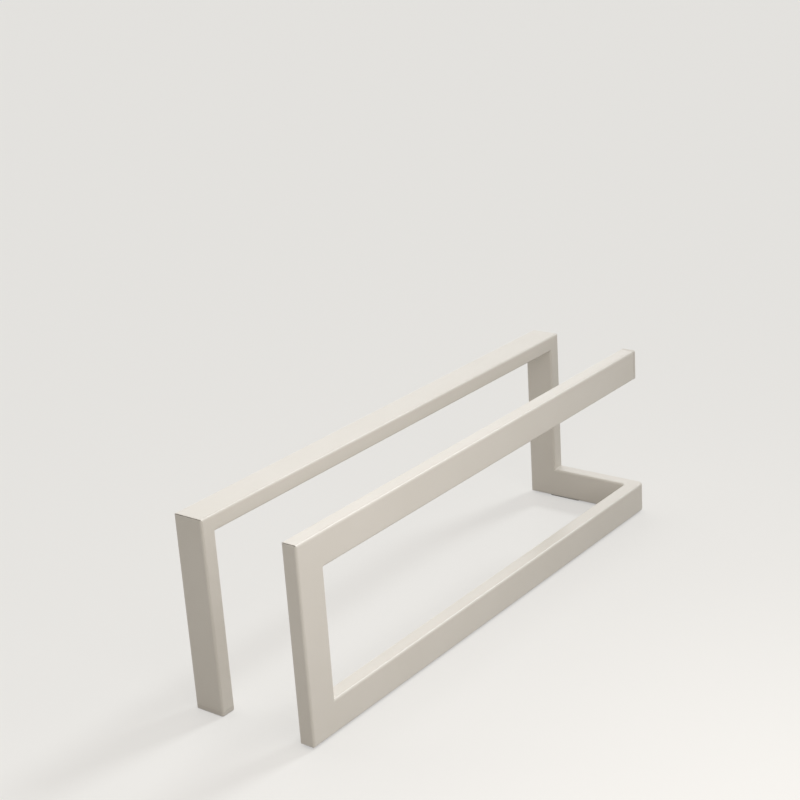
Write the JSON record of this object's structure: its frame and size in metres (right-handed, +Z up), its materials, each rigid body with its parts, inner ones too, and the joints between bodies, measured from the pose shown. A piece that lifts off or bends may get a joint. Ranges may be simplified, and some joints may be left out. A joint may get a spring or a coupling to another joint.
{
  "type": "freestanding shoe rack",
  "caption": "Low free-standing shoe rack made as a continuous line of flat steel tube: an open front frame, a floor rail folded to the rear and a rear rail for shoes to lean on.",
  "frame": {"origin": "on the floor, under the middle of the rack's outline", "axes": "+X along the rails from the post side to the free end of the top rail, +Y from the front frame to the rear rail, +Z up"},
  "size_m": [0.355, 0.085, 0.118],
  "materials": {
    "powder_coat": "satin warm white powder coat with a faint orange peel",
    "plug_plastic": "fine matt moulded plastic, a little greyer than the coat",
    "pad_rubber": "matt soft rubber"
  },
  "bodies": {
    "root": {"front_top_rail": "powder_coat", "front_left_post": "powder_coat", "base_rail": "powder_coat", "rear_right_post": "powder_coat", "rear_top_rail": "powder_coat", "rear_left_leg": "powder_coat", "top_rail_end_cap": "plug_plastic", "leg_foot_plug": "plug_plastic", "front_left_pad": "pad_rubber", "front_right_pad": "pad_rubber", "rear_right_pad": "pad_rubber"}
  },
  "joints": []
}
